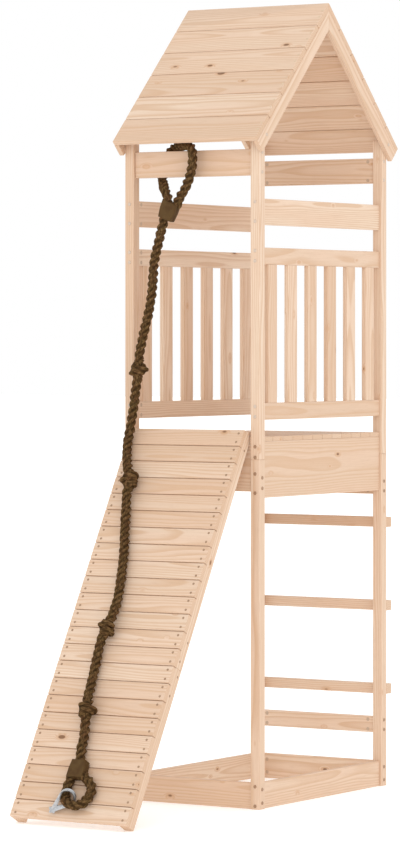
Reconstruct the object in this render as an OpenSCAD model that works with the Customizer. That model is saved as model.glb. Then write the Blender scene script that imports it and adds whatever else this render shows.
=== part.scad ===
// Wooden climbing frame for small children, in millimetres, +Z up and -Y the front.
// A four-post tower carries a floor, slatted side panels and a gabled roof. A slatted ramp leans on
// its front, rungs climb its back, and a knotted rope hangs from the front top beam onto the ramp.

/* [Tower] */
// Outside width over the posts, left to right
tower_w = 426; // [400:1:520]
// Outside depth over the posts, front to back
tower_d = 680; // [640:1:800]
// Side of the square posts, rungs and ramp stringers
post_side = 28; // [26:1:34]
// Length of a lower post half, from the ground to the post joint
lower_post_h = 927; // [880:1:1050]
// Length of an upper post half
upper_post_h = 873; // [850:1:1000]
// Thickness of the boards that are set between the posts
board_t = 14; // [13:0.5:18]
// Height of the base, middle and top boards
board_h = 70; // [60:1:90]
// Height of the narrow rails
rail_h = 45; // [40:1:60]

/* [Back] */
// Height of the low back rail's underside above the ground
low_rail_z = 148; // [110:1:180]
// Height of the first rung's underside above the ground
first_rung_z = 255; // [235:1:300]
// Height from one rung to the next
rung_pitch = 233; // [200:1:250]
// Drop from the side boards' top edge to the back platform rail's top edge
platform_rail_drop = 116; // [105:1:120]

/* [Platform] */
// Rise of the side boards' top edge above the post joint
platform_rise = 48; // [42:1:54]
// Height of the side boards under the floor
side_board_h = 150; // [140:1:165]
// Height of the board across the front of the floor
front_board_h = 145; // [138:1:160]
// Thickness of the floor boards
floor_t = 12; // [10:0.5:20]
// Width of a floor board
floor_board_w = 50; // [40:1:100]
// Gap between floor boards
floor_gap = 2; // [1:0.5:6]

/* [Sides] */
// Gap from the floor up to a side panel
panel_gap = 45; // [30:1:70]
// Height of a side panel over its rails
panel_h = 458; // [380:1:500]
// Width of a panel slat
slat_w = 45; // [30:1:80]
// Number of slats in a panel
slat_count = 6; // [4:1:8]
// Gap from a side panel up to the middle board
mid_gap = 60; // [40:1:80]
// Drop from the post tops to the top beams' upper edge
beam_drop = 49; // [45:1:70]

/* [Roof] */
// Slope of the roof in degrees
roof_pitch = 45; // [38:1:50]
// Width that one roof board covers
roof_board_w = 90; // [70:1:120]
// Groove between roof boards
roof_gap = 2; // [1:0.5:4]
// Thickness of the roof boards
roof_board_t = 14; // [10:0.5:20]
// Thickness of a rafter
rafter_t = 14; // [12:0.5:28]
// Depth of a rafter, square to the slope
rafter_h = 38; // [32:1:45]
// Least overhang of the eaves past the posts
eave_over = 41; // [30:1:60]
// Gap between the post tops and the roof boards
roof_clear = 1.2; // [0.5:0.1:4]

/* [Ramp] */
// Slope of the ramp in degrees
ramp_angle = 60; // [55:1:65]
// Gap between the ramp's sides and the front posts
ramp_side_gap = 6; // [2:0.5:12]
// Thickness of a ramp slat
ramp_slat_t = 14; // [12:0.5:18]
// Gap between ramp slats
ramp_slat_gap = 2; // [1:0.5:6]
// Number of ramp slats
ramp_slat_count = 23; // [18:1:26]
// Depth of the notch that hooks the stringers over the front board
notch_seat = 8.5; // [6:0.5:11]
// Rise of the stringers' level tops above the floor
stringer_rise = 13; // [8:0.5:13]
// Distance down the slope from the notch to the first slat's top edge
ramp_slat_start = 2; // [0:0.5:6]
// Distance down the slope from the notch to the joint in the stringers
ramp_joint = 692; // [600:1:760]
// Length of the block behind the joint in a stringer
splice_len = 200; // [180:1:260]
// Thickness of the block behind the joint in a stringer
splice_t = 14; // [12:0.5:28]
// Distance down the slope from the notch to the middle of the top batten
batten_at = 50; // [44:1:60]

/* [Fasteners] */
// Diameter of the frame bolts
bolt_d = 6; // [5:0.5:8]
// Diameter of a bolt head
bolt_head_d = 10; // [9:0.5:12]
// Height of a bolt head
bolt_head_h = 1.6; // [1:0.1:3]
// Reach of a bolt into the end of a board
bolt_reach = 32; // [29:1:45]
// Wood left between a bolt's tip and the far side of a post
bolt_stop = 6; // [4:0.5:8]
// Distance from a board's edge to its bolts
bolt_inset = 9; // [8:0.5:11]
// Offset of the bolts that cross others in one post
bolt_cross_step = 8; // [7.5:0.5:9]
// Distance between the front board's two bolts
front_bolt_step = 28; // [26:1:30]
// Diameter of a barrel nut
nut_d = 10; // [9:0.5:12]
// Length of a barrel nut
nut_len = 12; // [9:0.5:12]
// Distance from a board's end to its barrel nuts
nut_inset = 20; // [16:0.5:23]
// Radial clearance of bolts and nuts in their bores
bore_clear = 0.1; // [0.05:0.05:0.3]
// Diameter of the wood screws
screw_d = 4; // [3:0.5:5]
// Diameter of a wood screw's countersunk head
screw_head_d = 8; // [6:0.5:9]
// Height of a wood screw's countersunk head
screw_head_h = 2.4; // [1.5:0.1:4]
// Length of the wood screws in the ramp and the roof
screw_len = 26; // [22:1:28]
// Length of the wood screws in the floor
floor_screw_len = 20; // [17:1:20]
// Distance from a slat's end to its screws
screw_inset = 14; // [10:0.5:18]
// Distance between the two screws in one board end
screw_step = 26; // [18:1:30]

/* [Rope] */
// Diameter of the rope
rope_d = 25; // [20:1:25]
// Diameter of a knot's two round lobes
knot_d = 46; // [40:1:46]
// Width of a knot across the rope
knot_w = 56; // [50:1:60]
// Width of a rope clamp
clamp_w = 48; // [46:1:54]
// Length of a rope clamp
clamp_len = 50; // [46:1:56]
// Thickness of a rope clamp
clamp_t = 29; // [27:0.5:29]
// Length of the thimble from its round end's middle to its point
thimble_len = 62; // [56:1:68]
// Outside width of the thimble
thimble_w = 44; // [36:1:44]
// Width of the thimble's metal band
thimble_band = 6; // [4:0.5:7]
// Thickness of the thimble, square to its ring
thimble_t = 14; // [8:0.5:14]

/* [Hidden] */
$fn = 32;
left = -1;
right = 1;
front = -1;
back = 1;
// Overrun of every cut past the face that it opens
overrun = 1;
// Depth of a blind bore past the tip of its bolt
bore_extra = 2;

pine = "burlywood";
pine_edge = "tan";
rope_brown = "saddlebrown";
clamp_olive = "darkolivegreen";
bolt_dark = "dimgray";
screw_pale = "darkkhaki";
galvanised = "lightsteelblue";

// Plan of the tower, about its own middle
half_w = tower_w / 2;
half_d = tower_d / 2;
inner_w = tower_w - 2 * post_side;
inner_d = tower_d - 2 * post_side;
axis_x = half_w - post_side / 2;
axis_y = half_d - post_side / 2;

// Heights above the ground
post_top = lower_post_h + upper_post_h;
platform_z = lower_post_h + platform_rise;
floor_z = platform_z + floor_t;
side_board_z = platform_z - side_board_h;
front_board_z = floor_z - front_board_h;
platform_rail_z = platform_z - platform_rail_drop - rail_h;
panel_z = floor_z + panel_gap;
panel_rail_top_z = panel_z + panel_h - rail_h;
mid_z = panel_z + panel_h + mid_gap;
beam_z = post_top - beam_drop - board_h;

// Bolt heights: those of the side boards run along Y, those of the front and back boards along X
function pair(z, h) = [z + bolt_inset, z + h - bolt_inset];
side_bolt_shares = [0.09, 0.43, 0.72, 0.91];
base_side_bolts = pair(0, board_h);
base_cross_bolts = [bolt_inset + bolt_cross_step, board_h - bolt_inset - bolt_cross_step];
platform_side_bolts = [for (s = side_bolt_shares) side_board_z + s * side_board_h];
platform_front_bolts = [front_board_z + bolt_inset, front_board_z + bolt_inset + front_bolt_step];
platform_back_bolts = pair(platform_rail_z, rail_h);
low_rail_bolts = pair(low_rail_z, rail_h);
panel_low_bolts = pair(panel_z, rail_h);
panel_top_bolts = pair(panel_rail_top_z, rail_h);
mid_bolts = pair(mid_z, board_h);
beam_bolts = pair(beam_z, board_h);
side_bolts = concat(base_side_bolts, platform_side_bolts, panel_low_bolts, panel_top_bolts, mid_bolts);
front_bolts = concat(base_cross_bolts, platform_front_bolts, beam_bolts);
back_bolts = concat(base_cross_bolts, low_rail_bolts, platform_back_bolts, beam_bolts);
function cross_bolts(end) = end == front ? front_bolts : back_bolts;
rung_zs = [for (i = [0 : 2]) first_rung_z + i * rung_pitch];
rung_bolts = [for (z = rung_zs) z + post_side / 2];
board_bolt_len = post_side + bolt_reach;
rung_bolt_len = 2 * post_side - bolt_stop;
rafter_bolt_len = rafter_t + post_side - bolt_stop;

// Roof section: s runs down the slope from the ridge, t square into the roof from its outer face
roof_count = ceil((half_d + eave_over) / cos(roof_pitch) / roof_board_w);
slope_len = roof_count * roof_board_w;
eave_reach = slope_len * cos(roof_pitch);
ridge_z = post_top + roof_clear + half_d * tan(roof_pitch) + roof_board_t / cos(roof_pitch);
roof_half_len = half_w + rafter_t;
rafter_in = roof_board_t + rafter_h;
rafter_mid = roof_board_t + rafter_h / 2;
rafter_bolt_z = ridge_z - axis_y * tan(roof_pitch) - rafter_mid / cos(roof_pitch);
function roof_pt(end, s, t) = [
    end * (s * cos(roof_pitch) - t * sin(roof_pitch)),
    ridge_z - s * sin(roof_pitch) - t * cos(roof_pitch)
];

// Ramp section: s runs down the slope from the notch, t square out of the ramp from its underside
front_face_y = board_t / 2 + axis_y;
seat_y = notch_seat - front_face_y;
ramp_half_w = inner_w / 2 - ramp_side_gap;
ramp_depth = post_side + ramp_slat_t;
ramp_len = floor_z / sin(ramp_angle);
ramp_slat_pitch = (ramp_len - ramp_slat_start + ramp_slat_gap) / ramp_slat_count;
notch_end = notch_seat / cos(ramp_angle);
function ramp_pt(s, t) = [
    seat_y - s * cos(ramp_angle) - t * sin(ramp_angle),
    floor_z - s * sin(ramp_angle) + t * cos(ramp_angle)
];
function stringer_top(t) = (t * cos(ramp_angle) - stringer_rise) / sin(ramp_angle);
splice_screw_shares = [-0.39, -0.1, 0.1, 0.39];
splice_depth_shares = [0.35, 0.7, 0.35, 0.7];

// The tower stands behind the origin, so that the origin is under the middle of tower and ramp
tower_y = -(ramp_pt(ramp_len, ramp_depth)[0] + eave_reach) / 2;

// Rope route from the upper clamp down to the lower clamp, and the knots along it
rope_route = [
    [-76, -78, 1576], [-86, -80, 1542], [-97, -83, 1495], [-107, -86, 1450], [-108, -91, 1391],
    [-116, -95, 1326], [-130, -100, 1262], [-142, -104, 1205], [-142, -106, 1164], [-148, -109, 1125],
    [-153, -112, 1076], [-159, -116, 1031], [-166, -119, 985], [-158, -138, 948], [-140, -165, 912],
    [-114, -195, 873], [-112, -210, 834], [-103, -227, 794], [-88, -256, 742], [-69, -288, 686],
    [-55, -321, 630], [-44, -353, 575], [-40, -381, 534], [-42, -413, 493], [-51, -427, 457],
    [-51, -442, 420], [-47, -464, 382], [-41, -489, 343], [-35, -509, 319], [-23, -530, 291],
    [-21, -542, 259], [-17, -553, 228], [-13, -570, 198], [-7, -586, 172], [-3, -595, 158]
];
knot_places = [8, 15, 23, 29];
// Rope route of the upper eye: up in front of the top beam, over it and down behind it
eye_top_route = [
    [-40, -78, 1601], [-31, -79, 1621], [-12, -81, 1648], [3, -84, 1674], [13, -87, 1701],
    [18, -88, 1727], [15, -85, 1747], [4, -77, 1760], [-13, -66, 1765], [-38, -51, 1765],
    [-68, -34, 1764], [-95, -21, 1753], [-119, -15, 1731], [-130, -13, 1705], [-124, -18, 1681],
    [-104, -43, 1660], [-84, -65, 1645], [-71, -76, 1630], [-66, -78, 1615]
];
// Rope route of the lower eye, which lies on the ramp
eye_low_route = [
    [-15, -609, 132], [-18, -618, 114], [-20, -629, 95], [-18, -637, 82], [-12, -648, 71],
    [0, -657, 65], [20, -659, 61], [40, -653, 64], [53, -641, 78], [55, -629, 95],
    [47, -620, 112], [30, -613, 124], [12, -609, 132]
];
rope_sides = 10;
rope_steps = 2;
clamp_top_place = [-64, -78, 1591];
clamp_top_lean = 22;
clamp_low_place = [-2, -603, 144];
thimble_place = [-5, -648, 78];
thimble_turns = [-45, 10, 219];
clamp_waist_share = 0.85;

// Piece frames and shared shapes

// Stands its children on the tower's middle
module on_tower() {
    translate([0, tower_y, 0]) children();
}

// Extrudes an outline drawn in Y and Z along X
module along_x(x, length) {
    translate([x, 0, 0]) rotate([90, 0, 90]) linear_extrude(length) children();
}

// Bolt with its head's underside at zero, pointing down
module bolt(length) {
    rotate_extrude() polygon([
        [0, -length], [bolt_d / 2, -length], [bolt_d / 2, 0],
        [bolt_head_d / 2, 0], [bolt_head_d / 2, bolt_head_h], [0, bolt_head_h]
    ]);
}

// Bore for a bolt, open at zero and pointing down
module bolt_bore(depth) {
    translate([0, 0, -depth]) cylinder(h = depth + overrun, d = bolt_d + 2 * bore_clear);
}

// Countersunk wood screw with its head flush at zero, pointing down
module wood_screw(length) {
    rotate_extrude() polygon([
        [0, -length], [screw_d / 2, -length], [screw_d / 2, -screw_head_h],
        [screw_head_d / 2, 0], [0, 0]
    ]);
}

// Places children at a post's outer front or back face, pointing into the tower
module at_end_face(side, end, y, z) {
    translate([side * axis_x, end * y, z]) rotate([-90 * end, 0, 0]) children();
}

// Places children at a post's outer left or right face, pointing into the tower
module at_side_face(side, end, x, z) {
    translate([side * x, end * axis_y, z]) rotate([0, 90 * side, 0]) children();
}

// Places children where a side board's barrel nut enters its inner face
module at_side_nut(side, end, z) {
    translate([side * (axis_x - board_t / 2), end * (inner_d / 2 - nut_inset), z])
        rotate([0, -90 * side, 0]) children();
}

// Places children where a front or back board's barrel nut enters its inner face
module at_cross_nut(side, end, z) {
    translate([side * (inner_w / 2 - nut_inset), end * (axis_y - board_t / 2), z])
        rotate([90 * end, 0, 0]) children();
}

// Bore for a barrel nut, open at zero and pointing down
module nut_bore() {
    translate([0, 0, -nut_len - bore_clear])
        cylinder(h = nut_len + bore_clear + overrun, d = nut_d + 2 * bore_clear);
}

// Tower posts, each of two lengths that meet under the floor

module post(side, end, z, h) {
    sides = [for (b = side_bolts) if (b > z && b < z + h) b];
    crosses = [for (b = cross_bolts(end)) if (b > z && b < z + h) b];
    rungs = [for (b = rung_bolts) if (end == back && b > z && b < z + h) b];
    color(pine) on_tower() difference() {
        translate([side * axis_x - post_side / 2, end * axis_y - post_side / 2, z])
            cube([post_side, post_side, h]);
        for (b = sides) at_end_face(side, end, half_d, b) bolt_bore(post_side + overrun);
        for (b = crosses) at_side_face(side, end, half_w, b) bolt_bore(post_side + overrun);
        for (b = rungs) at_end_face(side, end, half_d, b) bolt_bore(post_side - bolt_stop + bore_extra);
        at_side_face(side, end, half_w, rafter_bolt_z) bolt_bore(post_side - bolt_stop + bore_extra);
    }
}

module lower_post(side, end) {
    post(side, end, 0, lower_post_h);
}

module upper_post(side, end) {
    post(side, end, lower_post_h, upper_post_h);
}

// Boards between the posts, held by bolts in their ends that screw into barrel nuts

module side_board(side, z, h, bolts) {
    color(pine) on_tower() difference() {
        translate([side * axis_x - board_t / 2, -inner_d / 2, z]) cube([board_t, inner_d, h]);
        for (end = [front, back], b = bolts) {
            at_end_face(side, end, inner_d / 2, b) bolt_bore(bolt_reach + bore_extra);
            at_side_nut(side, end, b) nut_bore();
        }
    }
}

module cross_board(end, z, h, bolts) {
    color(pine) on_tower() difference() {
        translate([-inner_w / 2, end * axis_y - board_t / 2, z]) cube([inner_w, board_t, h]);
        for (side = [left, right], b = bolts) {
            at_side_face(side, end, inner_w / 2, b) bolt_bore(bolt_reach + bore_extra);
            at_cross_nut(side, end, b) nut_bore();
        }
    }
}

module base_side_board(side) {
    side_board(side, 0, board_h, base_side_bolts);
}

module base_cross_board(end) {
    cross_board(end, 0, board_h, base_cross_bolts);
}

module platform_side_board(side) {
    side_board(side, side_board_z, side_board_h, platform_side_bolts);
}

module platform_front_board() {
    cross_board(front, front_board_z, front_board_h, platform_front_bolts);
}

module platform_back_rail() {
    cross_board(back, platform_rail_z, rail_h, platform_back_bolts);
}

module low_back_rail() {
    cross_board(back, low_rail_z, rail_h, low_rail_bolts);
}

module panel_low_rail(side) {
    side_board(side, panel_z, rail_h, panel_low_bolts);
}

module panel_top_rail(side) {
    side_board(side, panel_rail_top_z, rail_h, panel_top_bolts);
}

module middle_board(side) {
    side_board(side, mid_z, board_h, mid_bolts);
}

module top_beam(end) {
    cross_board(end, beam_z, board_h, beam_bolts);
}

// Upright slats that fill a side panel between its two rails
module panel_slats(side) {
    pitch = inner_d / slat_count;
    color(pine_edge) on_tower() for (i = [0 : slat_count - 1])
        translate([
            side * axis_x - board_t / 2,
            (i + 0.5) * pitch - inner_d / 2 - slat_w / 2,
            panel_z + rail_h
        ])
            cube([board_t, slat_w, panel_h - 2 * rail_h]);
}

// Floor boards laid across the side boards
floor_pitch = floor_board_w + floor_gap;
floor_count = floor((inner_d + floor_gap) / floor_pitch);
function floor_y(i) = (i + 0.5 - floor_count / 2) * floor_pitch;

module floor_boards() {
    length = 2 * axis_x + board_t;
    color(pine) on_tower() for (i = [0 : floor_count - 1])
        translate([-length / 2, floor_y(i) - floor_board_w / 2, platform_z])
            cube([length, floor_board_w, floor_t]);
}

// Square rung bolted across the back posts
module rung(i) {
    color(pine) on_tower() difference() {
        translate([-half_w, half_d, rung_zs[i]]) cube([tower_w, post_side, post_side]);
        for (side = [left, right])
            at_end_face(side, back, half_d + post_side, rung_bolts[i]) bolt_bore(post_side + overrun);
    }
}

// Roof: rafters bolted outside the posts, boards across them, mitred together at the ridge

module rafter(side, end) {
    x = side == right ? half_w : -half_w - rafter_t;
    color(pine_edge) on_tower() difference() {
        along_x(x, rafter_t) polygon([
            roof_pt(end, roof_board_t * tan(roof_pitch), roof_board_t),
            roof_pt(end, slope_len, roof_board_t),
            roof_pt(end, slope_len, rafter_in),
            roof_pt(end, rafter_in * tan(roof_pitch), rafter_in)
        ]);
        at_side_face(side, end, half_w + rafter_t, rafter_bolt_z) bolt_bore(rafter_t + overrun);
    }
}

module roof_boards(end) {
    color(pine) on_tower() for (i = [0 : roof_count - 1]) {
        top = i == 0 ? 0 : i * roof_board_w + roof_gap;
        mitre = i == 0 ? roof_board_t * tan(roof_pitch) : top;
        bottom = (i + 1) * roof_board_w;
        along_x(-roof_half_len, 2 * roof_half_len) polygon([
            roof_pt(end, top, 0), roof_pt(end, bottom, 0),
            roof_pt(end, bottom, roof_board_t), roof_pt(end, mitre, roof_board_t)
        ]);
    }
}

// Ramp: two stringers, each of two lengths with a block behind the joint, and slats across them

module stringer(side, outline) {
    x = side == right ? ramp_half_w - post_side : -ramp_half_w;
    color(pine_edge) on_tower() along_x(x, post_side) polygon(outline);
}

module upper_stringer(side) {
    stringer(side, [
        ramp_pt(ramp_joint, 0), ramp_pt(ramp_joint, post_side),
        ramp_pt(stringer_top(post_side), post_side), ramp_pt(stringer_top(0), 0),
        ramp_pt(0, 0), [-front_face_y, floor_z], ramp_pt(notch_end, 0)
    ]);
}

module lower_stringer(side) {
    stringer(side, [
        ramp_pt(ramp_len, 0), ramp_pt(ramp_len, post_side),
        ramp_pt(ramp_joint, post_side), ramp_pt(ramp_joint, 0)
    ]);
}

module ramp_splice(side) {
    x = ramp_half_w - post_side;
    start = ramp_joint - splice_len / 2;
    color(pine) on_tower() along_x(side == right ? x - splice_t : -x, splice_t) polygon([
        ramp_pt(start, 0), ramp_pt(start, post_side),
        ramp_pt(start + splice_len, post_side), ramp_pt(start + splice_len, 0)
    ]);
}

module ramp_batten() {
    half = ramp_half_w - post_side;
    start = batten_at - post_side / 2;
    color(pine) on_tower() along_x(-half, 2 * half) polygon([
        ramp_pt(start, 0), ramp_pt(start, post_side),
        ramp_pt(start + post_side, post_side), ramp_pt(start + post_side, 0)
    ]);
}

module ramp_slats() {
    color(pine) on_tower() for (i = [0 : ramp_slat_count - 1]) {
        top = ramp_slat_start + i * ramp_slat_pitch;
        bottom = top + ramp_slat_pitch - ramp_slat_gap;
        along_x(-ramp_half_w, 2 * ramp_half_w) polygon([
            ramp_pt(top, post_side), ramp_pt(top, ramp_depth),
            ramp_pt(bottom, ramp_depth), ramp_pt(bottom, post_side)
        ]);
    }
}

// Fasteners

module frame_bolts() {
    color(bolt_dark) on_tower() for (side = [left, right], end = [front, back]) {
        for (b = side_bolts) at_end_face(side, end, half_d, b) bolt(board_bolt_len);
        for (b = cross_bolts(end)) at_side_face(side, end, half_w, b) bolt(board_bolt_len);
        at_side_face(side, end, half_w + rafter_t, rafter_bolt_z) bolt(rafter_bolt_len);
        if (end == back)
            for (b = rung_bolts) at_end_face(side, end, half_d + post_side, b) bolt(rung_bolt_len);
    }
}

// Cross dowel with a hole through it for its bolt, flush with the board's inner face
module barrel_nut(turn) {
    difference() {
        translate([0, 0, -nut_len]) cylinder(h = nut_len, d = nut_d);
        translate([0, 0, -board_t / 2]) rotate(turn)
            cylinder(h = nut_d + 2 * overrun, d = bolt_d + 2 * bore_clear, center = true);
    }
}

module barrel_nuts() {
    color(bolt_dark) on_tower() for (side = [left, right], end = [front, back]) {
        for (b = side_bolts) at_side_nut(side, end, b) barrel_nut([90, 0, 0]);
        for (b = cross_bolts(end)) at_cross_nut(side, end, b) barrel_nut([0, 90, 0]);
    }
}

// Screws of the slats, of the blocks behind the stringers' joints and of the top batten
module ramp_screws() {
    x = ramp_half_w - screw_inset;
    color(bolt_dark) on_tower() for (side = [left, right]) {
        for (i = [0 : ramp_slat_count - 1], step = [-1, 1]) {
            middle = ramp_slat_start + (i + 0.5) * ramp_slat_pitch - ramp_slat_gap / 2;
            place = ramp_pt(middle + step * screw_step / 2, ramp_depth);
            translate([side * x, place[0], place[1]]) rotate([ramp_angle, 0, 0]) wood_screw(screw_len);
        }
        for (k = [0 : len(splice_screw_shares) - 1])
            ramp_side_screw(
                side, ramp_joint + splice_screw_shares[k] * splice_len, splice_depth_shares[k] * post_side
            );
        ramp_side_screw(side, batten_at, post_side / 2);
    }
}

module ramp_side_screw(side, s, t) {
    place = ramp_pt(s, t);
    translate([side * ramp_half_w, place[0], place[1]]) rotate([0, 90 * side, 0]) wood_screw(screw_len);
}

module roof_screws() {
    color(screw_pale) on_tower() for (side = [left, right], end = [front, back]) {
        for (i = [0 : roof_count - 1], step = [-1, 1]) {
            place = roof_pt(end, (i + 0.5) * roof_board_w + step * screw_step / 2, 0);
            translate([side * (half_w + rafter_t / 2), place[0], place[1]])
                rotate([-roof_pitch * end, 0, 0]) wood_screw(screw_len);
        }
    }
}

module floor_screws() {
    color(screw_pale) on_tower() for (side = [left, right])
        for (i = [0 : floor_count - 1], step = [-1, 1])
            translate([side * axis_x, floor_y(i) + step * screw_step / 2, floor_z])
                wood_screw(floor_screw_len);
}

// Rope with an eye round the top beam, four knots, and an eye with a thimble at its foot

function unit(v) = v / norm(v);

// Point on the smooth curve through a route, a share f of the way from point i to the next
function curve_pt(p, i, f) =
    let (a = p[max(i - 1, 0)], b = p[i], c = p[i + 1], d = p[min(i + 2, len(p) - 1)])
    (2 * b + (c - a) * f + (2 * a - 5 * b + 4 * c - d) * f * f + (3 * b - a - 3 * c + d) * f * f * f) / 2;

function curve(p) = concat(
    [for (i = [0 : len(p) - 2]) for (k = [0 : rope_steps - 1]) curve_pt(p, i, k / rope_steps)],
    [p[len(p) - 1]]
);

// Round tube swept along a route, its rings set out from the flat direction that is given
module rope_tube(route, flat) {
    path = curve(route);
    last = len(path) - 1;
    heads = [for (i = [0 : last]) unit(path[min(i + 1, last)] - path[max(i - 1, 0)])];
    points = [
        for (i = [0 : last])
            let (e = unit(cross(heads[i], flat)), g = cross(heads[i], e))
                for (k = [0 : rope_sides - 1])
                    path[i] + rope_d / 2 * (cos(360 * k / rope_sides) * e + sin(360 * k / rope_sides) * g)
    ];
    walls = [
        for (i = [0 : last - 1], k = [0 : rope_sides - 1])
            let (n = (k + 1) % rope_sides, a = i * rope_sides, b = a + rope_sides)
                each [[a + k, b + k, b + n], [a + k, b + n, a + n]]
    ];
    start_cap = [for (k = [0 : rope_sides - 1]) k];
    end_cap = [for (k = [rope_sides - 1 : -1 : 0]) last * rope_sides + k];
    color(rope_brown) polyhedron(points, concat(walls, [start_cap, end_cap]));
}

module rope_line() {
    rope_tube(rope_route, [1, 0, 0]);
}

module rope_eye_top() {
    rope_tube(eye_top_route, [1, 0, 0]);
}

module rope_eye_low() {
    rope_tube(eye_low_route, [0, -sin(ramp_angle), cos(ramp_angle)]);
}

// Overhand knot as two round lobes side by side across the rope
module rope_knot() {
    for (step = [-1, 1]) translate([0, step * (knot_w - knot_d) / 2, 0]) sphere(d = knot_d);
}

module rope_knots() {
    color(rope_brown) for (i = knot_places) {
        head = unit(rope_route[i + 1] - rope_route[i - 1]);
        translate(rope_route[i]) rotate([0, acos(head[2]), atan2(head[1], head[0])]) rope_knot();
    }
}

// Moulded clamp that binds the end of an eye to the rope: broad at the eye, drawn in at the rope
module rope_clamp() {
    color(clamp_olive) rotate([90, 0, 0]) linear_extrude(clamp_t, center = true) polygon([
        for (p = [[-0.5, 0.5], [-0.5, 0], [-0.5 * clamp_waist_share, -0.5],
                  [0.5 * clamp_waist_share, -0.5], [0.5, 0], [0.5, 0.5]])
            [p[0] * clamp_w, p[1] * clamp_len]
    ]);
}

module rope_clamp_top() {
    translate(clamp_top_place) rotate([0, clamp_top_lean, 0]) rope_clamp();
}

module rope_clamp_low() {
    translate(clamp_low_place) rotate([ramp_angle - 90, 0, 0]) mirror([0, 0, 1]) rope_clamp();
}

// Outline of the thimble: round at one end and drawn out to a point at the other
module thimble_outline() {
    hull() {
        circle(d = thimble_w);
        translate([thimble_len - thimble_band / 2, 0]) circle(d = thimble_band);
    }
}

module rope_thimble() {
    color(galvanised) translate(thimble_place) rotate([ramp_angle, 0, 0]) rotate(thimble_turns)
        linear_extrude(thimble_t, center = true) difference() {
            thimble_outline();
            offset(delta = -thimble_band) thimble_outline();
        }
}

lower_post(left, front);  // post_lower_front_left
lower_post(right, front);  // post_lower_front_right
lower_post(left, back);  // post_lower_back_left
lower_post(right, back);  // post_lower_back_right
upper_post(left, front);  // post_upper_front_left
upper_post(right, front);  // post_upper_front_right
upper_post(left, back);  // post_upper_back_left
upper_post(right, back);  // post_upper_back_right
base_cross_board(front);  // base_board_front
base_cross_board(back);  // base_board_back
base_side_board(left);  // base_board_left
base_side_board(right);  // base_board_right
platform_front_board();  // platform_board_front
platform_back_rail();  // platform_rail_back
platform_side_board(left);  // platform_board_left
platform_side_board(right);  // platform_board_right
floor_boards();
low_back_rail();  // low_rail_back
rung(0);  // rung_low
rung(1);  // rung_middle
rung(2);  // rung_top
panel_low_rail(left);  // panel_low_rail_left
panel_low_rail(right);  // panel_low_rail_right
panel_top_rail(left);  // panel_top_rail_left
panel_top_rail(right);  // panel_top_rail_right
panel_slats(left);  // panel_slats_left
panel_slats(right);  // panel_slats_right
middle_board(left);  // middle_board_left
middle_board(right);  // middle_board_right
top_beam(front);  // top_beam_front
top_beam(back);  // top_beam_back
rafter(left, front);  // rafter_front_left
rafter(right, front);  // rafter_front_right
rafter(left, back);  // rafter_back_left
rafter(right, back);  // rafter_back_right
roof_boards(front);  // roof_boards_front
roof_boards(back);  // roof_boards_back
upper_stringer(left);  // ramp_stringer_upper_left
upper_stringer(right);  // ramp_stringer_upper_right
lower_stringer(left);  // ramp_stringer_lower_left
lower_stringer(right);  // ramp_stringer_lower_right
ramp_splice(left);  // ramp_splice_left
ramp_splice(right);  // ramp_splice_right
ramp_batten();  // ramp_top_batten
ramp_slats();
frame_bolts();
barrel_nuts();
ramp_screws();
roof_screws();
floor_screws();
rope_line();
rope_eye_top();
rope_eye_low();
rope_knots();
rope_clamp_top();
rope_clamp_low();
rope_thimble();
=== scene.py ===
import math
import random
from functools import partial

import bmesh
import bpy
import numpy as np
from mathutils import Matrix, Vector


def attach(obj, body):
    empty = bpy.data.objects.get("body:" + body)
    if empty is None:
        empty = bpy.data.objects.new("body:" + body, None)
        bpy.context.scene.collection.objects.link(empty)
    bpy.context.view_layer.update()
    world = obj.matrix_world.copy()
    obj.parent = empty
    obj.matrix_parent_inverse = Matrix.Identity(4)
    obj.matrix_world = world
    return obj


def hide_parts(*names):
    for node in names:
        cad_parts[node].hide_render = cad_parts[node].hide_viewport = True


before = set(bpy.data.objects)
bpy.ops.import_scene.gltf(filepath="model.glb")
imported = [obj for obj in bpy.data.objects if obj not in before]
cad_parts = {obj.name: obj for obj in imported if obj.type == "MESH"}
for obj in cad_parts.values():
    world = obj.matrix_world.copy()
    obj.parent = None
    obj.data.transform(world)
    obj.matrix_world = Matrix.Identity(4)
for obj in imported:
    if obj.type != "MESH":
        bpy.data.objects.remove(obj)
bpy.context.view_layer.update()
scene = bpy.context.scene

# Studio: a pale floor that runs out of sight, a bright even room and one broad soft lamp to the right of the
# camera. The camera stands about eleven metres off, level, at the height of an adult's chest.
CAMERA_PLACE = (5.6218, -8.9110, 1.2522)
CAMERA_TURN = math.radians(32.315)
CAMERA_FOCAL_PX = 3916.6
IMAGE_HEIGHT_PX = 851
OPTICAL_AXIS_PX_ABOVE_MIDDLE = 88.5
SENSOR_MM = 36.0
FAR_CLIP = 200.0
FLOOR_REACH = 60.0
FLOOR_PAINT = {
    "Base Color": (0.93, 0.925, 0.915, 1.0), "Roughness": 0.9, "Specular IOR Level": 0.1,
    "Emission Color": (1.0, 1.0, 1.0, 1.0), "Emission Strength": 0.3,
}
ROOM_LIGHT = {"Color": (1.0, 1.0, 1.0, 1.0), "Strength": 1.0}
LAMP_STRENGTH = 0.5
LAMP_SPREAD = math.radians(50.0)
LAMP_COLOUR = (1.0, 0.985, 0.96)
LAMP_AIM = (-0.60, 0.75, -0.45)

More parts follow.
